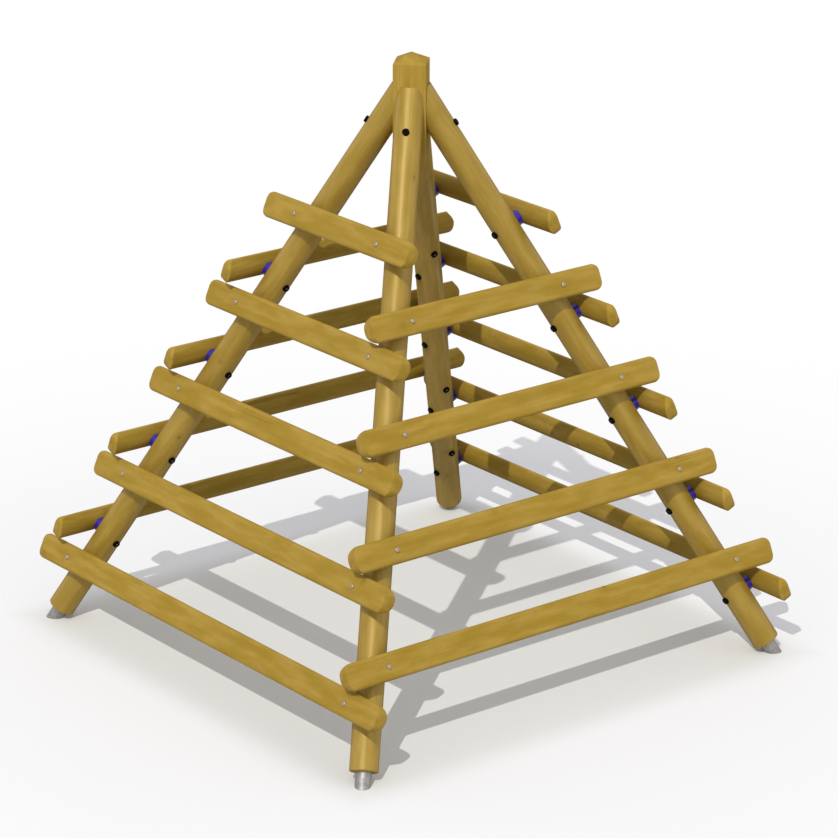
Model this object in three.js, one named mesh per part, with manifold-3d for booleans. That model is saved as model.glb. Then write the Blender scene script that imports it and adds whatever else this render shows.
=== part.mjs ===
// Timber climbing pyramid: four raking round posts meet at a square head block,
// and half-round rails are bolted across them on all four faces.
import * as THREE from 'three';
import { mergeVertices } from 'three/addons/utils/BufferGeometryUtils.js';
import Module from 'manifold-3d';

const wasm = await Module();
wasm.setup();

// Frame: millimetres, +Z up, ground at Z = 0 under the head block.
const BASE_SIDE = 2330; // between post axes at the ground, along one face
const AXES_HEIGHT = 2604; // where the four post axes would meet
const POST_DIAMETER = 124;
const POST_FOOT_HEIGHT = 49; // middle of a post's lower end above the ground
const POST_FOOT_CHAMFER = 5; // eased arris at the lower end
const POST_TOP_TRIM = 21; // level cut below the tip of the plumb-cut end

const RAIL_WIDTH = 124; // of the half-round: flat side out, round back to the posts
const RAIL_ARRIS_RADIUS = 16; // along both edges of the flat
const RAIL_CORNER_RADIUS = 42; // of the ends, as seen on the flat
const RAIL_OVERHANG = 214; // beyond the post axis
const TOP_RAIL_LENGTH = 1016;
const LOWEST_RAIL_HEIGHT = 276; // of the bolt at the post axis
const RAIL_CROSSING_GAP = 19.6; // upright gap where rails of two faces cross
const LONG_FACE_RAILS = 5; // front and back
const SHORT_FACE_RAILS = 4; // right and left

const SPACER_DIAMETER = 68;
const SPACER_WEB = 15; // least thickness between post and rail
const BOLT_DIAMETER = 12;
const BORE_CLEARANCE = 0.8; // on the radius
const BOLT_HEAD_DIAMETER = 25;
const BOLT_HEAD_HEIGHT = 7.5;
const NUT_CAP_DIAMETER = 32;
const NUT_CAP_HEIGHT = 11;
const NUT_CAP_CHAMFER = 5;

const BLOCK_MARGIN = 21; // head block side less the post diameter
const BLOCK_RISE = 98; // eaves above the posts' level cuts
const BLOCK_POINT = 42; // pyramid on top of the eaves
const BLOCK_LENGTH = 450; // lower end to the eaves
const HEAD_SCREW_DROP = 203; // below the posts' level cuts, at the axis
const HEAD_SCREW_GRIP = 60; // length inside the head block

const ANCHOR_DIAMETER = 70;
const ANCHOR_WALL = 3.6;
const ANCHOR_SOCKET_DEPTH = 150;

const SEAT = 0.3; // gap between touching pieces
const ROUND_SIDES = 20; // posts, rails and anchors
const SPACER_SIDES = 10;
const HEAD_SIDES = 8;
const SHANK_SIDES = 6;
const ARRIS_STEPS = 3;
const CORNER_STEPS = 5;

// Slopes: a post leans by RAKE from upright, a face by FACE_TILT.
const POST_RADIUS = POST_DIAMETER / 2;
const RAIL_RADIUS = RAIL_WIDTH / 2;
const BASE_REACH = BASE_SIDE / Math.SQRT2;
const RAKE = Math.atan(BASE_REACH / AXES_HEIGHT);
const FACE_TILT = Math.atan(Math.tan(RAKE) / Math.SQRT2);
// Lean of a post within a face, and its turn from the outward line to the face.
const FACE_LEAN = Math.asin(Math.sin(RAKE) / Math.SQRT2);
const FACE_TURN = Math.asin(Math.cos(FACE_TILT) / Math.SQRT2);
const FLAT_OFFSET = POST_RADIUS + SPACER_WEB + RAIL_RADIUS;

// Heights of the rails' bolts at the post axes.
const TOP_RAIL_HALF_SPAN = TOP_RAIL_LENGTH / 2 - RAIL_OVERHANG;
const TOP_RAIL_HEIGHT = AXES_HEIGHT * (1 - (2 * TOP_RAIL_HALF_SPAN) / BASE_SIDE);
const RAIL_PITCH = (TOP_RAIL_HEIGHT - LOWEST_RAIL_HEIGHT) / (LONG_FACE_RAILS - 1);
const STAGGER = RAIL_RADIUS * (1 + Math.cos(FACE_TILT)) + RAIL_CROSSING_GAP;
const LONG_FACE_HEIGHTS = railHeights(LOWEST_RAIL_HEIGHT, LONG_FACE_RAILS);
const SHORT_FACE_HEIGHTS = railHeights(LOWEST_RAIL_HEIGHT + STAGGER, SHORT_FACE_RAILS);

// Heights at the head, from where a post's outer line meets the block.
const BLOCK_SIDE = POST_DIAMETER + BLOCK_MARGIN;
const POST_TIP_REACH = BASE_REACH + POST_RADIUS / Math.cos(RAKE) - BLOCK_SIDE / 2;
const POST_TOP = POST_TIP_REACH / Math.tan(RAKE) - POST_TOP_TRIM;
const EAVES_HEIGHT = POST_TOP + BLOCK_RISE;
const SCREW_HEIGHT = POST_TOP - HEAD_SCREW_DROP;
const SCREW_REACH = BASE_REACH - SCREW_HEIGHT * Math.tan(RAKE);
const SCREW_GRIP_END = (SCREW_REACH - BLOCK_SIDE / 2) / Math.cos(RAKE) + HEAD_SCREW_GRIP;

const timber = new THREE.MeshStandardMaterial({
  color: 0xb8923f,
  roughness: 0.62,
  metalness: 0,
  flatShading: true,
});
const bluePlastic = new THREE.MeshStandardMaterial({
  color: 0x3c28be,
  roughness: 0.4,
  metalness: 0,
  flatShading: true,
});
const galvanised = new THREE.MeshStandardMaterial({
  color: 0xa9abac,
  roughness: 0.45,
  metalness: 0.9,
  flatShading: true,
});

function railHeights(lowest, count) {
  return Array.from({ length: count }, (_, i) => lowest + i * RAIL_PITCH);
}

// Half the distance between two post axes, along a face, at a height.
function halfSpan(height) {
  return (BASE_SIDE / 2) * (1 - height / AXES_HEIGHT);
}

// Closed mesh to solid, without the flat triangles at the poles of revolved shapes.
function toSolid(geometry) {
  geometry.deleteAttribute('normal');
  geometry.deleteAttribute('uv');
  const merged = mergeVertices(geometry);
  const index = merged.index.array;
  const triVerts = [];
  for (let i = 0; i < index.length; i += 3) {
    const [a, b, c] = index.slice(i, i + 3);
    if (a !== b && b !== c && c !== a) triVerts.push(a, b, c);
  }
  return new wasm.Manifold(new wasm.Mesh({
    numProp: 3,
    vertProperties: merged.attributes.position.array,
    triVerts: new Uint32Array(triVerts),
  }));
}

function toGeometry(solid) {
  const { vertProperties, triVerts } = solid.getMesh();
  const geometry = new THREE.BufferGeometry();
  geometry.setAttribute('position', new THREE.BufferAttribute(vertProperties, 3));
  geometry.setIndex(new THREE.BufferAttribute(triVerts, 1));
  geometry.computeVertexNormals();
  return geometry;
}

function joined(solids) {
  return solids.reduce((whole, solid) => whole.add(solid));
}

// Profile of [radius, height] pairs turned about Z.
function revolve(profile, sides, start = 0) {
  const points = profile.map(([radius, height]) => new THREE.Vector2(radius, height));
  return new THREE.LatheGeometry(points, sides, start).rotateX(Math.PI / 2);
}

function bar(radius, from, to, sides) {
  return revolve([[0, from], [radius, from], [radius, to], [0, to]], sides);
}

// A bore's flats, not its corners, keep the clearance.
function bore(from, to) {
  const radius = (BOLT_DIAMETER / 2 + BORE_CLEARANCE) / Math.cos(Math.PI / SHANK_SIDES);
  return bar(radius, from, to, SHANK_SIDES);
}

// Closed outline of [x, y] points carried along Z, as far below Z = 0 as above it.
function prism(outline, reach) {
  const points = outline.map(([x, y]) => new THREE.Vector2(x, y));
  const carried = { depth: 2 * reach, bevelEnabled: false };
  return new THREE.ExtrudeGeometry(new THREE.Shape(points), carried).translate(0, 0, -reach);
}

// Box between two opposite corners.
function box(low, high) {
  const size = high.map((value, i) => value - low[i]);
  const middle = high.map((value, i) => (value + low[i]) / 2);
  return new THREE.BoxGeometry(...size).translate(...middle);
}

// Points of an arc about (x, y), from one angle to another.
function arc(x, y, radius, from, to, steps) {
  return Array.from({ length: steps + 1 }, (_, i) => {
    const angle = from + ((to - from) * i) / steps;
    return [x + radius * Math.cos(angle), y + radius * Math.sin(angle)];
  });
}

// Post frame: +Z up the axis from the ground, +X square to it and outwards.
// Corner frame: origin on the ground under the head, +X out to the post.
function postToCorner(geometry) {
  return geometry.rotateY(-RAKE).translate(BASE_REACH, 0, 0);
}

function cornerToPost(geometry) {
  return geometry.translate(-BASE_REACH, 0, 0).rotateY(RAKE);
}

// Distance up a post's axis at a height above the ground.
function upPost(height) {
  return height / Math.cos(RAKE);
}

// From along Z to across a post, turned about its axis, at a height.
function acrossPost(geometry, turn, height) {
  return geometry.rotateY(Math.PI / 2).rotateZ(turn).translate(0, 0, upPost(height));
}

function nutCap() {
  const radius = NUT_CAP_DIAMETER / 2;
  return revolve([
    [0, 0],
    [radius, 0],
    [radius, NUT_CAP_HEIGHT - NUT_CAP_CHAMFER],
    [radius - NUT_CAP_CHAMFER, NUT_CAP_HEIGHT],
    [0, NUT_CAP_HEIGHT],
  ], HEAD_SIDES);
}

function domeHead() {
  const radius = BOLT_HEAD_DIAMETER / 2;
  return revolve([
    [0, 0],
    [radius, 0],
    [radius * 0.72, BOLT_HEAD_HEIGHT * 0.7],
    [0, BOLT_HEAD_HEIGHT],
  ], HEAD_SIDES);
}

// Round post: eased lower arris and anchor socket, plumb cut against the head
// block, level cut above, bores square to both faces, and its own head screw.
function makePost(boltHeights) {
  const foot = upPost(POST_FOOT_HEIGHT);
  const top = upPost(POST_TOP + POST_DIAMETER);
  const socket = ANCHOR_DIAMETER / 2 + SEAT;
  const blank = revolve([
    [0, foot + ANCHOR_SOCKET_DEPTH],
    [socket, foot + ANCHOR_SOCKET_DEPTH],
    [socket, foot],
    [POST_RADIUS - POST_FOOT_CHAMFER, foot],
    [POST_RADIUS, foot + POST_FOOT_CHAMFER],
    [POST_RADIUS, top],
    [0, top],
  ], ROUND_SIDES);
  const kept = cornerToPost(box(
    [BLOCK_SIDE / 2 + SEAT, -POST_DIAMETER, -POST_DIAMETER],
    [BASE_REACH + POST_DIAMETER, POST_DIAMETER, POST_TOP],
  ));
  const holes = [-1, 1].flatMap((side) => boltHeights[side].map((height) => {
    return toSolid(acrossPost(bore(-POST_DIAMETER, POST_DIAMETER), side * FACE_TURN, height));
  }));
  const capSeat = POST_RADIUS - NUT_CAP_CHAMFER / 2;
  const shank = bar(BOLT_DIAMETER / 2, -SCREW_GRIP_END, capSeat + NUT_CAP_CHAMFER, SHANK_SIDES);
  const cap = nutCap().translate(0, 0, capSeat);
  const post = toSolid(blank).intersect(toSolid(kept)).subtract(joined(holes));
  const screw = [shank, cap].map((piece) => toSolid(acrossPost(piece, 0, SCREW_HEIGHT)));
  return toGeometry(joined([post, ...screw]));
}

// Steel tube in the post's socket, cut level with the ground.
function makeAnchor() {
  const outer = ANCHOR_DIAMETER / 2;
  const inner = outer - ANCHOR_WALL;
  const top = upPost(POST_FOOT_HEIGHT) + ANCHOR_SOCKET_DEPTH - SEAT;
  const tube = revolve([
    [inner, -ANCHOR_DIAMETER],
    [outer, -ANCHOR_DIAMETER],
    [outer, top],
    [inner, top],
    [inner, -ANCHOR_DIAMETER],
  ], ROUND_SIDES);
  const aboveGround = cornerToPost(box(
    [0, -ANCHOR_DIAMETER, 0],
    [2 * BASE_REACH, ANCHOR_DIAMETER, AXES_HEIGHT],
  ));
  return toGeometry(toSolid(tube).intersect(toSolid(aboveGround)));
}

// Square timber with a four-sided point, its flats turned to the posts; the
// origin is at the middle of the eaves.
function makeHeadBlock() {
  const corner = BLOCK_SIDE / Math.SQRT2;
  const squareTimber = revolve([
    [0, -BLOCK_LENGTH],
    [corner, -BLOCK_LENGTH],
    [corner, 0],
    [0, BLOCK_POINT],
  ], 4);
  const holes = [45, 135, 225, 315].map((heading) => {
    const hole = acrossPost(bore(-SCREW_GRIP_END - BOLT_DIAMETER / 4, 0), 0, SCREW_HEIGHT);
    postToCorner(hole).rotateZ(THREE.MathUtils.degToRad(heading));
    return toSolid(hole.translate(0, 0, -EAVES_HEIGHT));
  });
  return toGeometry(toSolid(squareTimber).subtract(joined(holes)));
}

// Face frame: +X along the rails, +Y up the slope, +Z outwards from the post axes.
// Half-round section with its flat at the top and both arrises rounded.
function railSection() {
  const middle = Math.sqrt((RAIL_RADIUS - RAIL_ARRIS_RADIUS) ** 2 - RAIL_ARRIS_RADIUS ** 2);
  const meeting = -Math.atan2(RAIL_ARRIS_RADIUS, middle);
  const side = (2 * Math.PI) / ROUND_SIDES;
  const outer = RAIL_RADIUS / Math.cos(side / 2);
  const back = arc(0, 0, outer, -1.5 * side, 1.5 * side - Math.PI, ROUND_SIDES / 2 - 3);
  const arris = arc(
    middle,
    -RAIL_ARRIS_RADIUS,
    RAIL_ARRIS_RADIUS,
    Math.PI / 2,
    meeting,
    ARRIS_STEPS,
  );
  return [...arris, ...back, ...arris.map(([x, y]) => [-x, y]).reverse()];
}

// Outline of a rail seen on its flat, with rounded corners.
function railOutline(length) {
  const end = length / 2 - RAIL_CORNER_RADIUS;
  const side = RAIL_RADIUS - RAIL_CORNER_RADIUS;
  const quarter = Math.PI / 2;
  return [[end, side], [-end, side], [-end, -side], [end, -side]].flatMap(([x, y], i) => {
    return arc(x, y, RAIL_CORNER_RADIUS, i * quarter, (i + 1) * quarter, CORNER_STEPS);
  });
}

// Half-round rail with its flat at Z = 0 and a bolt hole over each post.
function railSolid(height, bored) {
  const span = halfSpan(height);
  const length = 2 * (span + RAIL_OVERHANG);
  const halfRound = prism(railSection(), length).rotateX(Math.PI / 2).rotateZ(Math.PI / 2);
  const rail = toSolid(halfRound).intersect(toSolid(prism(railOutline(length), RAIL_WIDTH)));
  if (!bored) return rail;
  const holes = [-1, 1].map((side) => {
    return toSolid(bore(-RAIL_WIDTH, RAIL_WIDTH).translate(side * span, 0, 0));
  });
  return rail.subtract(joined(holes));
}

// The post's outline about its own axis, as it crosses one end of a face frame.
function postInFace(side) {
  const turn = FACE_TURN * side;
  const axis = new THREE.Vector3(-side * Math.sin(FACE_LEAN), Math.cos(FACE_LEAN), 0);
  const normal = new THREE.Vector3(0, 0, 1);
  const across = new THREE.Vector3().crossVectors(axis, normal);
  const outward = normal.clone().multiplyScalar(Math.cos(turn));
  outward.addScaledVector(across, Math.sin(turn));
  const sideways = new THREE.Vector3().crossVectors(axis, outward);
  const frame = new THREE.Matrix4().makeBasis(outward, sideways, axis);
  return bar(POST_RADIUS + SEAT, -POST_DIAMETER, POST_DIAMETER, ROUND_SIDES).applyMatrix4(frame);
}

// Round bar over a rail's back, its flats over the rail's flats.
function railInFace() {
  const turn = Math.PI / ROUND_SIDES;
  const radius = (RAIL_RADIUS + SEAT) / Math.cos(turn);
  const profile = [[0, -RAIL_WIDTH], [radius, -RAIL_WIDTH], [radius, RAIL_WIDTH], [0, RAIL_WIDTH]];
  return revolve(profile, ROUND_SIDES, turn).rotateY(Math.PI / 2).translate(0, 0, FLAT_OFFSET);
}

// Bolt through rail, saddle spacer and post, with its cap on the inner side.
// A seated spacer is hollowed for the rail's back; an unseated one runs into it.
function boltSolid(side, seated) {
  const inner = -(POST_RADIUS + SEAT);
  const outer = FLAT_OFFSET + SEAT;
  const shank = bar(
    BOLT_DIAMETER / 2,
    inner - NUT_CAP_HEIGHT / 2,
    outer + BOLT_HEAD_HEIGHT / 2,
    SHANK_SIDES,
  );
  const cap = nutCap().rotateX(Math.PI).translate(0, 0, inner);
  const head = domeHead().translate(0, 0, outer);
  const blank = bar(SPACER_DIAMETER / 2, 0, FLAT_OFFSET - RAIL_RADIUS / 2, SPACER_SIDES);
  let spacer = toSolid(blank).subtract(toSolid(postInFace(side)));
  if (seated) spacer = spacer.subtract(toSolid(railInFace()));
  return spacer.add(toSolid(shank)).add(toSolid(cap)).add(toSolid(head));
}

// One body of rail and bolts, with a rail that is not bored.
function boltedRail(height) {
  let solid = railSolid(height, false).translate([0, 0, FLAT_OFFSET]);
  for (const side of [-1, 1]) {
    solid = solid.add(boltSolid(side, false).translate([side * halfSpan(height), 0, 0]));
  }
  return toGeometry(solid.translate([0, 0, -FLAT_OFFSET]));
}

const pyramid = new THREE.Group();

function addMesh(parent, name, geometry, material) {
  const mesh = new THREE.Mesh(geometry, material);
  mesh.name = name;
  parent.add(mesh);
  return mesh;
}

const headBlock = addMesh(pyramid, 'head_block', makeHeadBlock(), timber);
headBlock.position.z = EAVES_HEIGHT;

// Corners, by heading from +X; long faces are front (-Y) and back (+Y).
const anchor = makeAnchor();
const longThenShort = makePost({ [-1]: LONG_FACE_HEIGHTS, [1]: SHORT_FACE_HEIGHTS });
const shortThenLong = makePost({ [-1]: SHORT_FACE_HEIGHTS, [1]: LONG_FACE_HEIGHTS });
const corners = [
  { name: 'front_right', heading: -45, post: longThenShort },
  { name: 'back_right', heading: 45, post: shortThenLong },
  { name: 'back_left', heading: 135, post: longThenShort },
  { name: 'front_left', heading: 225, post: shortThenLong },
];
for (const { name, heading, post } of corners) {
  const corner = new THREE.Group();
  corner.rotation.z = THREE.MathUtils.degToRad(heading);
  const raked = new THREE.Group();
  raked.position.x = BASE_REACH;
  raked.rotation.y = -RAKE;
  addMesh(raked, `post_${name}`, post, timber);
  addMesh(raked, `ground_anchor_${name}`, anchor, galvanised);
  corner.add(raked);
  pyramid.add(corner);
}

// Faces, by turn from the front; left and right as seen from outside.
const bolts = { [-1]: toGeometry(boltSolid(-1, true)), [1]: toGeometry(boltSolid(1, true)) };
const sideNames = { [-1]: 'left', [1]: 'right' };

function addFace(name, turn, heights, rails) {
  const facing = new THREE.Group();
  facing.rotation.z = THREE.MathUtils.degToRad(turn);
  const face = new THREE.Group();
  face.position.y = -BASE_SIDE / 2;
  face.rotation.x = Math.PI / 2 - FACE_TILT;
  heights.forEach((height, i) => {
    const upSlope = height / Math.cos(FACE_TILT);
    const { geometry, ownBolts } = rails[i];
    const rail = addMesh(face, `rail_${name}_${i + 1}`, geometry, timber);
    rail.position.set(0, upSlope, FLAT_OFFSET);
    for (const side of ownBolts ? [] : [-1, 1]) {
      const label = `spacer_bolt_${name}_${i + 1}_${sideNames[side]}`;
      const bolt = addMesh(face, label, bolts[side], bluePlastic);
      bolt.position.set(side * halfSpan(height), upSlope, 0);
    }
  });
  facing.add(face);
  pyramid.add(facing);
}

// The short top rails of the long faces carry their bolts in one body.
const longRails = LONG_FACE_HEIGHTS.map((height, i) => {
  const ownBolts = i === LONG_FACE_RAILS - 1;
  const geometry = ownBolts ? boltedRail(height) : toGeometry(railSolid(height, true));
  return { geometry, ownBolts };
});
const shortRails = SHORT_FACE_HEIGHTS.map((height) => {
  return { geometry: toGeometry(railSolid(height, true)), ownBolts: false };
});
addFace('front', 0, LONG_FACE_HEIGHTS, longRails);
addFace('right', 90, SHORT_FACE_HEIGHTS, shortRails);
addFace('back', 180, LONG_FACE_HEIGHTS, longRails);
addFace('left', 270, SHORT_FACE_HEIGHTS, shortRails);

export default pyramid;
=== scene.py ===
import math
import random

import bmesh
import bpy
from mathutils import Matrix, Vector


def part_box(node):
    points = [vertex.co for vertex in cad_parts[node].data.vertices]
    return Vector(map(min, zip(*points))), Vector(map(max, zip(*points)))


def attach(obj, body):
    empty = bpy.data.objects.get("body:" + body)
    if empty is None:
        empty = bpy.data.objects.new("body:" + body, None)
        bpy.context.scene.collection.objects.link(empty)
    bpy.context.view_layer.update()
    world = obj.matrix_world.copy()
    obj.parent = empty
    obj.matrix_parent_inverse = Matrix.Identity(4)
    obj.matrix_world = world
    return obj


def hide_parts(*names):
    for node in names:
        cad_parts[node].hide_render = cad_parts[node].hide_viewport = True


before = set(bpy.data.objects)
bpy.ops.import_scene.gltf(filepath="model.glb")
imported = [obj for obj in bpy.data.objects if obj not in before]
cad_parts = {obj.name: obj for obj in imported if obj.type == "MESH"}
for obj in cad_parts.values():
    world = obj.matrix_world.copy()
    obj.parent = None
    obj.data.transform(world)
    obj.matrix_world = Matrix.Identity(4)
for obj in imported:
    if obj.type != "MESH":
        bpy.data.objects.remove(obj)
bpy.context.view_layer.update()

# Ground anchors: galvanised steel tubes, one in a socket in each post's foot.
# They are cut level with the ground here; on site they run on into a footing.

# The four post axes meet over the middle of a square base.
BASE_SIDE = 2.330
APEX_HEIGHT = 2.604
BASE_REACH = BASE_SIDE / math.sqrt(2)
RAKE = math.atan2(BASE_REACH, APEX_HEIGHT)
CORNER_HEADINGS = {"front_right": -45, "back_right": 45, "back_left": 135, "front_left": 225}

ANCHOR_RADIUS = 0.035
ANCHOR_WALL = 0.0036
ANCHOR_LENGTH = 0.205  # up the post's axis from the ground
ANCHOR_SIDES = 64


def post_frame(corner):
    """Z runs up the post's axis from the ground, X square to it and outwards."""
    turn = Matrix.Rotation(math.radians(CORNER_HEADINGS[corner]), 4, "Z")
    return turn @ Matrix.Translation((BASE_REACH, 0, 0)) @ Matrix.Rotation(-RAKE, 4, "Y")


def turned(profile, sides):
    """Mesh of (radius, height) pairs turned about Z: a tube if they start off the axis."""
    bm = bmesh.new()
    angles = [2 * math.pi * i / sides for i in range(sides)]
    rings = []
    for radius, height in profile:
        rings.append([
            bm.verts.new((radius * math.cos(a), radius * math.sin(a), height))
            for a in (angles if radius else [0])
        ])
    if profile[0][0]:
        rings.append(rings[0])
    for lower, upper in zip(rings, rings[1:]):
        for i in range(sides):
            j = (i + 1) % sides
            corners = [lower[i % len(lower)], lower[j % len(lower)]]
            corners += [upper[j % len(upper)], upper[i % len(upper)]]
            bm.faces.new(list(dict.fromkeys(corners)))
    bmesh.ops.recalc_face_normals(bm, faces=bm.faces[:])
    return bm


def cut(bm, point, normal, hollow=False):
    """Cuts away what lies beyond a plane and closes the cut, a tube's as a ring."""
    everything = bm.verts[:] + bm.edges[:] + bm.faces[:]
    found = bmesh.ops.bisect_plane(
        bm, geom=everything, plane_co=point, plane_no=normal, clear_outer=True
    )
    if hollow:
        rims = [edge for edge in bm.edges if edge.is_boundary]
        bmesh.ops.bridge_loops(bm, edges=rims)
        bmesh.ops.recalc_face_normals(bm, faces=bm.faces[:])
    else:
        rim = [part for part in found["geom_cut"] if isinstance(part, bmesh.types.BMEdge)]
        bmesh.ops.edgeloop_fill(bm, edges=rim)


def shaded(bm, name, material, sharp_angle=30):
    """Mesh with smooth shading that breaks at its sharp edges."""
    mesh = bpy.data.meshes.new(name)
    bm.to_mesh(mesh)
    bm.free()
    mesh.shade_smooth()
    mesh.set_sharp_from_angle(angle=math.radians(sharp_angle))
    mesh.materials.append(material)
    return mesh


def add_piece(name, mesh, node, place=None):
    """Adds a piece: a shared mesh is placed, a mesh of its own lies where it belongs."""
    piece = bpy.data.objects.new(name, mesh)
    bpy.context.scene.collection.objects.link(piece)
    if place:
        piece.matrix_world = place
    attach(piece, "root")
    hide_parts(node)


def linear(colour):
    """sRGB hex to linear red, green, blue and alpha."""
    channels = [int(colour[i:i + 2], 16) / 255 for i in (1, 3, 5)]
    return [c / 12.92 if c <= 0.04045 else ((c + 0.055) / 1.055) ** 2.4 for c in channels] + [1]


def new_material(name):
    """A material with its node tree and its shader."""
    material = bpy.data.materials.new(name)
    material.use_nodes = True
    return material, material.node_tree, material.node_tree.nodes["Principled BSDF"]


def add_node(tree, kind, inputs, **settings):
    """Adds a node with its settings; an input is a value or the socket that feeds it."""
    made = tree.nodes.new(kind)
    for setting, value in settings.items():
        setattr(made, setting, value)
    sockets = {socket.identifier: socket for socket in made.inputs}
    for socket, value in inputs.items():
        if isinstance(value, bpy.types.NodeSocket):
            tree.links.new(value, sockets[socket])
        else:
            sockets[socket].default_value = value
    return made


# Hot-dip galvanised steel: a dull, pale metal. Its zinc crystals reflect a
# little more or less from one to the next, so the tube looks softly mottled.
SPANGLE_SIZE = 0.009
ZINC_CLOUD_SIZE = 0.03
ZINC_RELIEF = 0.0004
galvanised, tree, shader = new_material("galvanised_steel_hot_dipped")
place = add_node(tree, "ShaderNodeTexCoord", {}).outputs["Object"]
spangle = add_node(
    tree, "ShaderNodeTexVoronoi", {"Vector": place, "Scale": 1 / SPANGLE_SIZE}
)
cloud = add_node(
    tree, "ShaderNodeTexNoise", {"Vector": place, "Scale": 1 / ZINC_CLOUD_SIZE, "Detail": 3}
)
zinc = add_node(tree, "ShaderNodeMixRGB", {
    "Fac": spangle.outputs["Color"], "Color1": linear("#888684"), "Color2": linear("#A3A09E"),
})
dull = add_node(tree, "ShaderNodeMapRange", {
    "Value": cloud.outputs["Fac"], "From Min": 0.3, "From Max": 0.7, "To Min": 0.5, "To Max": 0.62,
})
dip = add_node(tree, "ShaderNodeBump", {
    "Height": cloud.outputs["Fac"], "Strength": 0.3, "Distance": ZINC_RELIEF,
})
tree.links.new(zinc.outputs["Color"], shader.inputs["Base Color"])
tree.links.new(dull.outputs["Result"], shader.inputs["Roughness"])
tree.links.new(dip.outputs["Normal"], shader.inputs["Normal"])
shader.inputs["Metallic"].default_value = 1.0

for corner in CORNER_HEADINGS:
    to_post = post_frame(corner)
    tube = turned([
        (ANCHOR_RADIUS - ANCHOR_WALL, -ANCHOR_LENGTH),
        (ANCHOR_RADIUS, -ANCHOR_LENGTH),
        (ANCHOR_RADIUS, ANCHOR_LENGTH),
        (ANCHOR_RADIUS - ANCHOR_WALL, ANCHOR_LENGTH),
    ], ANCHOR_SIDES)
    ground = to_post.inverted()
    cut(tube, ground.translation, ground.to_3x3() @ Vector((0, 0, -1)), hollow=True)
    mesh = shaded(tube, f"anchor_{corner}_tube", galvanised)
    mesh.transform(to_post)
    add_piece(f"anchor_tube_{corner}", mesh, f"ground_anchor_{corner}")


# Posts: round softwood turned to one diameter, raked so that all four lean on
# the head block. Each has an eased foot, a plumb cut against the block and a
# level cut above it.
POST_RADIUS = 0.062
POST_FOOT_HEIGHT = 0.049
POST_FOOT_ROUNDING = 0.005
POST_SIDES = 160
BLOCK_HALF_SIDE = (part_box("head_block")[1].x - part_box("head_block")[0].x) / math.sqrt(8)
SEAT = 0.0003  # gap between touching pieces

# Softwood treated for outdoors: growth rings cut by the round or flat surface,
# long paler and darker streaks, a few small knots and fine drying cracks, under
# a thin satin coat that gives the posts their narrow bright line.
RING_SPACING = 0.0052
RING_WANDER = 0.06  # across the fibre
STREAK_WIDTH = 0.026
FIBRE_WIDTH = 0.0022  # coarser than real fibres, so that it shows
CRACK_SPACING = 0.045
KNOT_SPACING = 0.19
KNOT_PUSH = 0.008  # of the rings round a knot
GRAIN_RELIEF = 0.0002
timber, tree, shader = new_material("turned_softwood_satin_coat")
grain = add_node(tree, "ShaderNodeAttribute", {}, attribute_name="grain").outputs["Vector"]


def stretched_noise(width, length, detail):
    """Noise whose patches are so wide across the fibre and so long along it."""
    squeezed = add_node(tree, "ShaderNodeVectorMath", {
        "Vector": grain, "Vector_001": (1 / width, 1 / width, 1 / length),
    }, operation="MULTIPLY")
    return add_node(tree, "ShaderNodeTexNoise", {
        "Vector": squeezed.outputs["Vector"], "Scale": 1.0, "Detail": detail,
    })


def ranged(value, low, high, start=0.0, end=1.0):
    """Start where the value is low or less, end where it is high or more."""
    return add_node(tree, "ShaderNodeMapRange", {
        "Value": value, "From Min": low, "From Max": high, "To Min": start, "To Max": end,
    }, interpolation_type="SMOOTHSTEP").outputs["Result"]


def combined(operation, first, second=0.0):
    """One number from one or two, such as their product or the first one's sine."""
    return add_node(
        tree, "ShaderNodeMath", {"Value": first, "Value_001": second}, operation=operation
    ).outputs["Value"]


def tinted(factor, below, above, blend="MIX"):
    """The colour below, covered by the one above as far as the factor says."""
    return add_node(tree, "ShaderNodeMixRGB", {
        "Fac": factor, "Color1": below, "Color2": above,
    }, blend_type=blend).outputs["Color"]


# Knots: their distances are shares of the knots' spacing.
knots = add_node(tree, "ShaderNodeTexVoronoi", {
    "Vector": grain, "Scale": 1 / KNOT_SPACING, "Randomness": 1.0,
}).outputs["Distance"]
knot = ranged(knots, 0.03, 0.05, 1, 0)
knot_halo = ranged(knots, 0.04, 0.16, 1, 0)

# Growth rings: waves outwards from the pith, which wander and bend round knots.
wander = add_node(tree, "ShaderNodeVectorMath", {
    "Vector": stretched_noise(0.25, 0.9, 2).outputs["Color"], "Vector_001": (0.5, 0.5, 0.5),
}, operation="SUBTRACT").outputs["Vector"]
wandered = add_node(tree, "ShaderNodeVectorMath", {
    "Vector": wander, "Vector_001": (RING_WANDER, RING_WANDER, 0.0), "Vector_002": grain,
}, operation="MULTIPLY_ADD").outputs["Vector"]
across = add_node(tree, "ShaderNodeVectorMath", {
    "Vector": wandered, "Vector_001": (1, 1, 0),
}, operation="MULTIPLY").outputs["Vector"]
from_pith = add_node(
    tree, "ShaderNodeVectorMath", {"Vector": across}, operation="LENGTH"
).outputs["Value"]
pushed = combined("MULTIPLY_ADD", knot_halo, KNOT_PUSH)
tree.links.new(from_pith, pushed.node.inputs[2])
ring_wave = combined("SINE", combined("MULTIPLY", pushed, 2 * math.pi / RING_SPACING))
late_wood = ranged(ring_wave, -0.4, 1.0)

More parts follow.
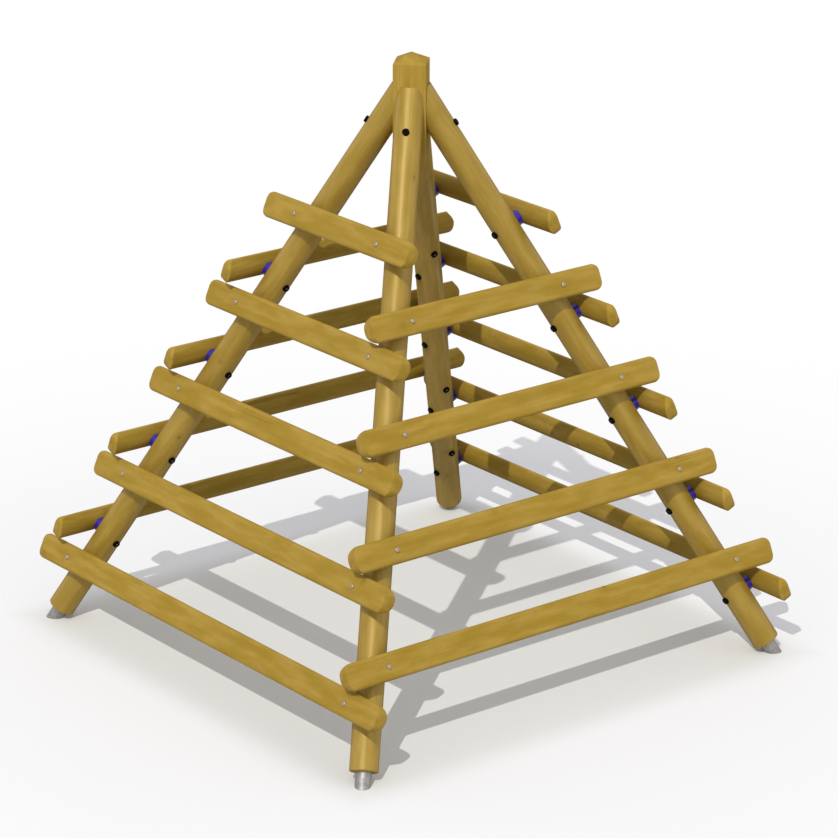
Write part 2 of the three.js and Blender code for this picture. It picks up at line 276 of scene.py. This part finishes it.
# Figure along the fibre: each width and length is in metres.
streak = stretched_noise(STREAK_WIDTH, 0.55, 4).outputs["Fac"]
patch = stretched_noise(0.045, 0.17, 3).outputs["Fac"]
fibre = stretched_noise(FIBRE_WIDTH, 0.06, 2).outputs["Fac"]
crack_field = stretched_noise(CRACK_SPACING, 1.3, 1).outputs["Fac"]
crack_line = ranged(combined("ABSOLUTE", combined("SUBTRACT", crack_field, 0.5)), 0, 0.008, 1, 0)
crack_places = ranged(stretched_noise(0.20, 0.5, 1).outputs["Fac"], 0.60, 0.66)
crack = combined("MULTIPLY", crack_line, crack_places)

wood = tinted(ranged(patch, 0.32, 0.68), linear("#AA8A30"), linear("#BC9B47"))
wood = tinted(combined("MULTIPLY", late_wood, 0.15), wood, linear("#876A20"))
wood = tinted(ranged(streak, 0.3, 0.7, 0.28, 0), wood, linear("#937727"))
wood = tinted(ranged(fibre, 0.3, 0.7, 0.13, 0), wood, linear("#907328"))
wood = tinted(combined("MULTIPLY", knot_halo, 0.22), wood, linear("#83621F"))
wood = tinted(combined("MULTIPLY", knot, 0.6), wood, linear("#6A4B17"))
wood = tinted(combined("MULTIPLY", crack, 0.5), wood, linear("#5A4315"))
wood = tinted(1.0, wood, linear("#EEEDDF"), "MULTIPLY")
wood.node.name = "tone"
tree.links.new(wood, shader.inputs["Base Color"])

relief = combined("MULTIPLY_ADD", late_wood, 0.35)
tree.links.new(combined("MULTIPLY", fibre, 0.5), relief.node.inputs[2])
relief = combined("SUBTRACT", relief, combined("MULTIPLY", crack, 2.5))
bumped = add_node(
    tree, "ShaderNodeBump", {"Height": relief, "Strength": 0.6, "Distance": GRAIN_RELIEF}
)
tree.links.new(bumped.outputs["Normal"], shader.inputs["Normal"])

# The coat is satin where the eye meets the post squarely and dull along its
# sides, so the line stays narrow and the outlines don't shine.
satin = ranged(streak, 0.3, 0.7, 0.5, 0.44)
satin.node.name = "satin"
glance = add_node(tree, "ShaderNodeLayerWeight", {"Blend": 0.5}).outputs["Facing"]
tree.links.new(
    combined("MAXIMUM", satin, ranged(glance, 0.45, 0.8, 0.4, 0.95)), shader.inputs["Roughness"]
)
shader.inputs["IOR"].default_value = 1.55
shader.inputs["Specular IOR Level"].default_value = 1.0
shader.inputs["Specular Tint"].default_value = linear("#F3DCA4")

# The same timber where it is sawn and planed: it has the same figure, but its
# coat has sunk in, so the rails and the head block look dull beside the posts.
sawn_timber = timber.copy()
sawn_timber.name = "sawn_softwood_dull"
nodes = sawn_timber.node_tree.nodes
nodes["Principled BSDF"].inputs["Specular IOR Level"].default_value = 0.3
nodes["tone"].inputs["Color2"].default_value = linear("#FFFFFF")
nodes["satin"].inputs["To Min"].default_value = 0.72
nodes["satin"].inputs["To Max"].default_value = 0.62

# Painted shade: the rails' round backs, which face the inside of the frame, are a little browner
# and darker than the flats, standing for the weaker light that reaches them there.
inner_painted_shade_timber = sawn_timber.copy()
inner_painted_shade_timber.name = "peeled_softwood_dull"
inner_painted_shade_timber.node_tree.nodes["tone"].inputs["Color2"].default_value = linear("#EBECE9")

# How far the middle of each piece lies from its log's pith.
POST_PITH_OFFSET = 0.016
RAIL_PITH_OFFSET = 0.012
BLOCK_PITH_OFFSET = 0.13
FIGURE_RANGE = 60.0  # of timber that the pieces are taken from, each at another place
logs = random.Random(7)


def give_grain(mesh, pith_offset):
    """Stores each point's place in its log, whose fibre runs along Z."""
    turn = Matrix.Rotation(logs.uniform(0, 2 * math.pi), 3, "Z") @ Vector((pith_offset, 0, 0))
    shift = turn + Vector((0, 0, logs.uniform(0, FIGURE_RANGE)))
    places = [value for vertex in mesh.vertices for value in vertex.co + shift]
    mesh.attributes.new("grain", "FLOAT_VECTOR", "POINT").data.foreach_set("vector", places)


def arc(radius, height, rounding, start, end, steps):
    """Profile points round (radius, height), from one angle in degrees to another."""
    angles = [math.radians(start + (end - start) * i / steps) for i in range(steps + 1)]
    return [
        (radius + rounding * math.cos(a), height + rounding * math.sin(a)) for a in angles
    ]


for corner in CORNER_HEADINGS:
    to_post = post_frame(corner)
    from_world = to_post.inverted()
    foot = POST_FOOT_HEIGHT / math.cos(RAKE)
    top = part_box(f"post_{corner}")[1].z
    uncut_top = (top + 2 * POST_RADIUS) / math.cos(RAKE)
    # The point above the rounding keeps the shading of the long faces straight.
    bm = turned([
        (0, foot),
        *arc(POST_RADIUS - POST_FOOT_ROUNDING, foot + POST_FOOT_ROUNDING, POST_FOOT_ROUNDING,
             -90, 0, 6),
        (POST_RADIUS, foot + 1.5 * POST_FOOT_ROUNDING),
        (POST_RADIUS, uncut_top),
        (0, uncut_top),
    ], POST_SIDES)
    outwards = Matrix.Rotation(math.radians(CORNER_HEADINGS[corner]), 3, "Z") @ Vector((1, 0, 0))
    up = from_world.to_3x3() @ Vector((0, 0, 1))
    to_block = from_world.to_3x3() @ -outwards
    cut(bm, from_world @ Vector((0, 0, top)), up)
    cut(bm, from_world @ (outwards * (BLOCK_HALF_SIDE + SEAT)), to_block)
    mesh = shaded(bm, f"post_{corner}_timber", timber)
    give_grain(mesh, POST_PITH_OFFSET)
    mesh.transform(to_post)
    add_piece(f"round_post_{corner}", mesh, f"post_{corner}")


# Head block: square sawn timber with a low four-sided point, planed and with
# eased edges. Its four flats face the posts, which are screwed to them.
BLOCK_POINT = 0.042
BLOCK_EASING = 0.0025
block_low, block_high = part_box("head_block")
eaves = block_high.z - BLOCK_POINT
block_corner = BLOCK_HALF_SIDE * math.sqrt(2)
bm = turned([
    (0, block_low.z - eaves),
    (block_corner, block_low.z - eaves),
    (block_corner, 0),
    (0, BLOCK_POINT),
], 4)
bmesh.ops.bevel(
    bm, geom=bm.edges[:], offset=BLOCK_EASING, segments=4, profile=0.5, affect="EDGES",
    clamp_overlap=True,
)
# Shading breaks at each of the easing's strips, so the block's faces look flat.
mesh = shaded(bm, "head_block_timber", sawn_timber, sharp_angle=20)
give_grain(mesh, BLOCK_PITH_OFFSET)
mesh.transform(Matrix.Translation((0, 0, eaves)))
add_piece("square_head_block", mesh, "head_block")


# Rails: round stock sawn in half, its flat side out and both long edges rounded.
# The ends are cut square, with rounded corners as seen on the flat.
RAIL_RADIUS = 0.062
RAIL_ARRIS_RADIUS = 0.016
RAIL_CORNER_RADIUS = 0.042
RAIL_END_EASING = 0.002
RAIL_STRIPS = 56
RAIL_OVERHANG = 0.214
SPACER_WEB = 0.015
FLAT_OFFSET = POST_RADIUS + SPACER_WEB + RAIL_RADIUS
FACE_TILT = math.atan2(BASE_SIDE / 2, APEX_HEIGHT)
FACE_TURNS = {"front": 0, "right": 90, "back": 180, "left": 270}

# From Z to along the rail, and from X to out of the face.
ALONG_RAIL = Matrix(((0, 0, 1, 0), (0, -1, 0, 0), (1, 0, 0, 0), (0, 0, 0, 1)))


def face_frame(side):
    """X runs along the rails, Y up the slope and Z out, from the post axes' plane."""
    turn = Matrix.Rotation(math.radians(FACE_TURNS[side]), 4, "Z")
    tilt = Matrix.Rotation(math.pi / 2 - FACE_TILT, 4, "X")
    return turn @ Matrix.Translation((0, -BASE_SIDE / 2, 0)) @ tilt


def rails_of(side):
    """Each rail's node with its half length, its bolts' half distance and their height."""
    for node in sorted(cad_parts):
        if node.startswith(f"rail_{side}_"):
            low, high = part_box(node)
            size = high - low
            half_length = max(size.x, size.y) / 2
            half_span = half_length - RAIL_OVERHANG
            height = APEX_HEIGHT * (1 - 2 * half_span / BASE_SIDE)
            yield node, half_length, half_span, height / math.cos(FACE_TILT)


def rail_section():
    """Closed outline of (depth, width) points with its outward normals."""
    arris_place = math.sqrt((RAIL_RADIUS - RAIL_ARRIS_RADIUS) ** 2 - RAIL_ARRIS_RADIUS ** 2)
    widest = arris_place + RAIL_ARRIS_RADIUS
    round_back = arris_place * RAIL_RADIUS / (RAIL_RADIUS - RAIL_ARRIS_RADIUS)
    front, back = [], []
    for i in range(RAIL_STRIPS + 1):
        width = widest * math.sin(math.pi * (i / RAIL_STRIPS - 0.5))
        beyond = max(0, abs(width) - arris_place)
        fall = math.sqrt(max(0, RAIL_ARRIS_RADIUS ** 2 - beyond ** 2))
        arris = Vector((-RAIL_ARRIS_RADIUS, math.copysign(arris_place, width)))
        point = Vector((fall - RAIL_ARRIS_RADIUS, width))
        front.append((point, (point - arris).normalized() if beyond else Vector((1, 0))))
        if abs(width) > round_back:
            point = Vector((-fall - RAIL_ARRIS_RADIUS, width))
            back.append((point, (point - arris).normalized()))
        else:
            point = Vector((-math.sqrt(RAIL_RADIUS ** 2 - width ** 2), width))
            back.append((point, point.normalized()))
    return front + back[-2:0:-1]


def rail_shape(half_length):
    """Half-round rail along Z with its flat towards X, its end edges eased."""
    section = rail_section()
    bm = bmesh.new()
    rings = []
    for end in (-1, 1):
        # The fifth ring lies further in, so that the long faces are shaded flat.
        steps = [(0, 0), (30, 0), (60, 0), (90, 0), (90, 1)][::-end]
        for degrees, further_in in steps:
            angle = math.radians(degrees)
            ring = []
            for point, normal in section:
                inner = point - normal * RAIL_END_EASING * (1 - math.sin(angle))
                sideways = max(0, abs(inner.y) - RAIL_RADIUS + RAIL_CORNER_RADIUS)
                drop = RAIL_CORNER_RADIUS - math.sqrt(RAIL_CORNER_RADIUS ** 2 - sideways ** 2)
                drop += RAIL_END_EASING * (1 - math.cos(angle) + further_in)
                ring.append(bm.verts.new((inner.x, inner.y, end * (half_length - drop))))
            rings.append(ring)
    count = len(section)
    for ring, further in zip(rings, rings[1:]):
        for i in range(count):
            j = (i + 1) % count
            bm.faces.new([ring[i], ring[j], further[j], further[i]])
    for ring in (rings[0], rings[-1]):
        for i in range(RAIL_STRIPS):
            corners = [ring[i], ring[i + 1], ring[-i - 1], ring[-i]]
            bm.faces.new(list(dict.fromkeys(corners)))
    bmesh.ops.recalc_face_normals(bm, faces=bm.faces[:])
    return bm


for side in FACE_TURNS:
    for node, half_length, half_span, up_slope in rails_of(side):
        mesh = shaded(rail_shape(half_length), f"{node}_timber", sawn_timber, sharp_angle=50)
        # The round backs, which face inwards, take the copy with painted shade.
        mesh.materials.append(inner_painted_shade_timber)
        for face in mesh.polygons:
            faces_inwards = face.normal.x < -0.1
            face.material_index = int(faces_inwards)
        give_grain(mesh, RAIL_PITH_OFFSET)
        offset = Matrix.Translation((0, up_slope, FLAT_OFFSET))
        mesh.transform(face_frame(side) @ offset @ ALONG_RAIL)
        add_piece(f"half_round_{node}", mesh, node)


# Saddle spacers: blue moulded plastic, round, hollowed on one side for the
# post and on the other for the rail's back, and clamped between them.
SPACER_RADIUS = 0.034
SPACER_EASING = 0.0015
SPACER_SIDES = 72
FACE_LEAN = math.asin(math.sin(RAKE) / math.sqrt(2))

# Polypropylene, moulded against a lightly sparked tool: a deep blue with a
# soft sheen, a fine pitted skin and a little bleaching where the sun reaches.
SKIN_GRAIN = 0.0012
SKIN_RELIEF = 0.0001
BLEACH_SIZE = 0.03
blue_plastic, tree, shader = new_material("polypropylene_blue_sparked")
place = add_node(tree, "ShaderNodeTexCoord", {}).outputs["Object"]
skin = add_node(tree, "ShaderNodeTexNoise", {"Vector": place, "Scale": 1 / SKIN_GRAIN, "Detail": 2})
bleach = add_node(
    tree, "ShaderNodeTexNoise", {"Vector": place, "Scale": 1 / BLEACH_SIZE, "Detail": 2}
)
tree.links.new(
    tinted(bleach.outputs["Fac"], linear("#28158F"), linear("#331F9C")), shader.inputs["Base Color"]
)
tree.links.new(ranged(skin.outputs["Fac"], 0.3, 0.7, 0.34, 0.46), shader.inputs["Roughness"])
pitted = add_node(tree, "ShaderNodeBump", {
    "Height": skin.outputs["Fac"], "Strength": 0.35, "Distance": SKIN_RELIEF,
})
tree.links.new(pitted.outputs["Normal"], shader.inputs["Normal"])
shader.inputs["IOR"].default_value = 1.49


def spacer_mesh(hand):
    """The saddle spacer for the post at the left (-1) or right (1) end of a rail."""
    edge = SPACER_EASING / SPACER_WEB / 2
    radii = [0, SPACER_RADIUS * 0.35, SPACER_RADIUS * 0.7, SPACER_RADIUS - SPACER_EASING]
    bm = turned([
        *[(radius, 0) for radius in radii],
        (SPACER_RADIUS, edge),
        (SPACER_RADIUS, 1 - edge),
        *[(radius, 1) for radius in reversed(radii)],
    ], SPACER_SIDES)
    for vertex in bm.verts:
        x, y, share = vertex.co
        from_post_axis = x * math.cos(FACE_LEAN) + y * hand * math.sin(FACE_LEAN)
        on_post = math.sqrt(POST_RADIUS ** 2 - from_post_axis ** 2) + SEAT
        under_rail = FLAT_OFFSET - math.sqrt(RAIL_RADIUS ** 2 - y ** 2) - SEAT
        vertex.co.z = on_post + (under_rail - on_post) * share
    return shaded(bm, "saddle_spacer", blue_plastic)


HANDS = {"left": -1, "right": 1}
spacers = {hand: spacer_mesh(hand) for hand in HANDS.values()}


def bolt_places():
    """Each bolt's name, node, hand and place, square to its face at the post's axis."""
    for side in FACE_TURNS:
        for node, half_length, half_span, up_slope in rails_of(side):
            for name, hand in HANDS.items():
                label = f"{node.replace('rail_', '')}_{name}"
                own = f"spacer_bolt_{label}"
                at = face_frame(side) @ Matrix.Translation((hand * half_span, up_slope, 0))
                yield label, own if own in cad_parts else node, hand, at


for label, node, hand, at in bolt_places():
    add_piece(f"saddle_spacer_{label}", spacers[hand], node, at)


# Bolts: plated steel with a low dome head on the rail's flat, through rail,
# spacer and post. Their ends show in the middle of the nut caps.
BOLT_RADIUS = 0.006
BOLT_END_CHAMFER = 0.001
BOLT_HEAD_RADIUS = 0.0125
BOLT_HEAD_HEIGHT = 0.0075
BOLT_HEAD_RIM = 0.0012
NUT_CAP_HEIGHT = 0.011
BOLT_END_RECESS = 0.004  # below the face of the nut cap
BOLT_END = POST_RADIUS + SEAT + NUT_CAP_HEIGHT - BOLT_END_RECESS
DOME_STEPS = 8
ROUND_SIDES = 48

# Zinc-plated and passivated steel: paler and warmer than the hot-dipped tube,
# with a soft even reflection and a faint yellowish cloud in it.
PLATING_CLOUD_SIZE = 0.006
passivated, tree, shader = new_material("passivated_zinc_plate")
place = add_node(tree, "ShaderNodeTexCoord", {}).outputs["Object"]
haze = add_node(
    tree, "ShaderNodeTexNoise", {"Vector": place, "Scale": 1 / PLATING_CLOUD_SIZE, "Detail": 2}
)
tree.links.new(
    tinted(haze.outputs["Fac"], linear("#A08F73"), linear("#AE9F86")), shader.inputs["Base Color"]
)
tree.links.new(ranged(haze.outputs["Fac"], 0.35, 0.65, 0.5, 0.58), shader.inputs["Roughness"])
shader.inputs["Metallic"].default_value = 1.0


def bolt_mesh(inner_end, head_seat):
    """The bolt along Z, from its plain end to the dome of its head."""
    dome_rise = BOLT_HEAD_HEIGHT - BOLT_HEAD_RIM
    dome_angles = [math.radians(90 * i / DOME_STEPS) for i in range(DOME_STEPS)]
    return shaded(turned([
        (0, inner_end),
        (BOLT_RADIUS - BOLT_END_CHAMFER, inner_end),
        (BOLT_RADIUS, inner_end + BOLT_END_CHAMFER),
        (BOLT_RADIUS, head_seat),
        (BOLT_HEAD_RADIUS, head_seat),
        *[(BOLT_HEAD_RADIUS * math.cos(a), head_seat + BOLT_HEAD_RIM + dome_rise * math.sin(a))
          for a in dome_angles],
        (0, head_seat + BOLT_HEAD_HEIGHT),
    ], ROUND_SIDES), "dome_bolt", passivated)


bolt = bolt_mesh(-BOLT_END, FLAT_OFFSET + SEAT)
for label, node, hand, at in bolt_places():
    add_piece(f"dome_bolt_{label}", bolt, node, at)


# Nut caps: black plastic covers on the nuts at the inner side of the posts,
# and on the four screws that hold the posts to the head block.
NUT_CAP_RADIUS = 0.016
NUT_CAP_CHAMFER = 0.005
CAP_HOLE_RADIUS = 0.0062
CAP_HOLE_EASING = 0.001
CAP_SINK = 0.0022  # lets the flat cap meet the round post all the way round
HEAD_SCREW_DROP = 0.203

# Nylon, moulded smooth: near black with a small soft highlight on its bevel.
DUST_SIZE = 0.008
black_nylon, tree, shader = new_material("nylon_black_moulded")
place = add_node(tree, "ShaderNodeTexCoord", {}).outputs["Object"]
dust = add_node(tree, "ShaderNodeTexNoise", {"Vector": place, "Scale": 1 / DUST_SIZE, "Detail": 4})
tree.links.new(
    tinted(dust.outputs["Fac"], linear("#030202"), linear("#090706")), shader.inputs["Base Color"]
)
tree.links.new(ranged(dust.outputs["Fac"], 0.35, 0.65, 0.42, 0.55), shader.inputs["Roughness"])
shader.inputs["IOR"].default_value = 1.53
shader.inputs["Specular IOR Level"].default_value = 0.04

cap_outside = [
    (NUT_CAP_RADIUS, -CAP_SINK),
    *arc(NUT_CAP_RADIUS - NUT_CAP_CHAMFER, NUT_CAP_HEIGHT - NUT_CAP_CHAMFER, NUT_CAP_CHAMFER,
         0, 90, 5),
    (CAP_HOLE_RADIUS + CAP_HOLE_EASING, NUT_CAP_HEIGHT),
    (CAP_HOLE_RADIUS, NUT_CAP_HEIGHT - CAP_HOLE_EASING),
]
nut_cap = shaded(turned([
    (CAP_HOLE_RADIUS, -CAP_SINK), *cap_outside,
], ROUND_SIDES), "nut_cap", black_nylon, sharp_angle=50)
screw_cap = shaded(turned([
    (0, -CAP_SINK), *cap_outside, (0, NUT_CAP_HEIGHT - CAP_HOLE_EASING),
], ROUND_SIDES), "screw_cap", black_nylon, sharp_angle=50)

inwards = Matrix.Translation((0, 0, -POST_RADIUS - SEAT)) @ Matrix.Rotation(math.pi, 4, "X")
for label, node, hand, at in bolt_places():
    add_piece(f"nut_cap_{label}", nut_cap, node, at @ inwards)

for corner in CORNER_HEADINGS:
    node = f"post_{corner}"
    up_post = (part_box(node)[1].z - HEAD_SCREW_DROP) / math.cos(RAKE)
    at = post_frame(corner) @ Matrix.Translation((POST_RADIUS, 0, up_post))
    at = at @ Matrix.Rotation(math.pi / 2, 4, "Y")
    add_piece(f"head_screw_cap_{corner}", screw_cap, node, at)


# Floor and light: a plain pale floor with painted shade under the frame, which whitens away from
# it, a low sun from the front left that draws crisp shadows, and a soft light beside it.
FLOOR_RADIUS = 40.0
FLOOR_DROP = 0.0005
bpy.context.scene.view_settings.view_transform = "Standard"


def seen_or_mirrored():
    """1 for what the eye sees, straight or by way of metal or glass, and 0 for light."""
    path = add_node(tree, "ShaderNodeLightPath", {})
    mirrored = combined(
        "MAXIMUM", path.outputs["Is Glossy Ray"], path.outputs["Is Transmission Ray"]
    )
    return combined("MAXIMUM", path.outputs["Is Camera Ray"], mirrored)


# Matt painted floor: pale to the eye, with painted shade that makes it darker inside the frame's
# base and whiter outside it, and mid grey to the light that it throws back up at the timber. Far
# out it is plain white, which hides where it ends.
BASE_EDGE = BASE_SIDE / 2
floor_material, tree, shader = new_material("painted_floor_matt")
position = add_node(tree, "ShaderNodeNewGeometry", {}).outputs["Position"]
parts = add_node(tree, "ShaderNodeSeparateXYZ", {"Vector": position})
beside = combined(
    "MAXIMUM", combined("ABSOLUTE", parts.outputs["X"]), combined("ABSOLUTE", parts.outputs["Y"])
)
distance = add_node(
    tree, "ShaderNodeVectorMath", {"Vector": position}, operation="LENGTH"
).outputs["Value"]
# Painted shade: inside the frame's base the floor is a little darker; outside it, it is whiter.
outside_painted_shade = ranged(beside, BASE_EDGE - 0.015, BASE_EDGE + 0.235)
seen = seen_or_mirrored()
pale_with_painted_shade = tinted(outside_painted_shade, linear("#F1F2F0"), linear("#FDFDFF"))
tree.links.new(tinted(seen, linear("#B0B0B0"), pale_with_painted_shade), shader.inputs["Base Color"])
shader.inputs["Roughness"].default_value = 1.0
shader.inputs["Specular IOR Level"].default_value = 0.0
white = add_node(tree, "ShaderNodeEmission", {"Color": (1, 1, 1, 1), "Strength": 1.0})
whitened = combined(
    "MAXIMUM", ranged(outside_painted_shade, 0, 1, 0.0, 0.05), ranged(distance, 1.9, 5.0)
)
surface = add_node(tree, "ShaderNodeMixShader", {
    "Fac": combined("MULTIPLY", whitened, seen),
    "Shader": shader.outputs["BSDF"],
    "Shader_001": white.outputs["Emission"],
})
tree.links.new(surface.outputs["Shader"], tree.nodes["Material Output"].inputs["Surface"])

disc = bmesh.new()
bmesh.ops.create_circle(disc, cap_ends=True, segments=128, radius=FLOOR_RADIUS)
floor_mesh = bpy.data.meshes.new("floor")
disc.to_mesh(floor_mesh)
disc.free()
floor_mesh.materials.append(floor_material)
floor = bpy.data.objects.new("floor", floor_mesh)
floor.location.z = -FLOOR_DROP
bpy.context.scene.collection.objects.link(floor)

# Sky: white to the eye, and weaker as light on the timber.
SKY_LEVEL = 0.605
world = bpy.data.worlds.new("studio")
world.use_nodes = True
bpy.context.scene.world = world
tree = world.node_tree
sky = tree.nodes["Background"]
seen = seen_or_mirrored()
tree.links.new(ranged(seen, 0, 1, SKY_LEVEL, 1.0), sky.inputs["Strength"])
tree.links.new(tinted(seen, linear("#FAFBFF"), linear("#FFFFFF")), sky.inputs["Color"])


def add_sun(name, heading, elevation, level, spread):
    """A distant light that comes from a heading and an elevation in degrees."""
    light = bpy.data.lights.new(name, "SUN")
    light.color = linear("#FFFDF7")[:3]
    light.energy = level * math.pi
    light.angle = math.radians(spread)
    lamp = bpy.data.objects.new(name, light)
    lamp.rotation_euler = (math.radians(90 - elevation), 0, math.radians(heading + 90))
    bpy.context.scene.collection.objects.link(lamp)


add_sun("key", heading=-54.3, elevation=44.4, level=0.55, spread=0.4)
add_sun("fill", heading=12, elevation=20, level=0.07, spread=60)


# Camera: the photograph's angle, from the front right corner and above. Its
# place and turns were solved from the bolts and outlines in the photograph.
CAMERA_PLACE = (12.5811, -9.8976, 6.7382)
CAMERA_HEADING = 51.673
CAMERA_DIP = 19.601
CAMERA_ROLL = 0.164
camera_data = bpy.data.cameras.new("camera")
camera_data.sensor_width = 36.0
camera_data.lens = 163.295
camera_data.clip_end = 200.0
camera = bpy.data.objects.new("camera", camera_data)
camera.matrix_world = (
    Matrix.Translation(CAMERA_PLACE)
    @ Matrix.Rotation(math.radians(CAMERA_HEADING), 4, "Z")
    @ Matrix.Rotation(math.radians(90 - CAMERA_DIP), 4, "X")
    @ Matrix.Rotation(math.radians(CAMERA_ROLL), 4, "Z")
)
bpy.context.scene.collection.objects.link(camera)
bpy.context.scene.camera = camera
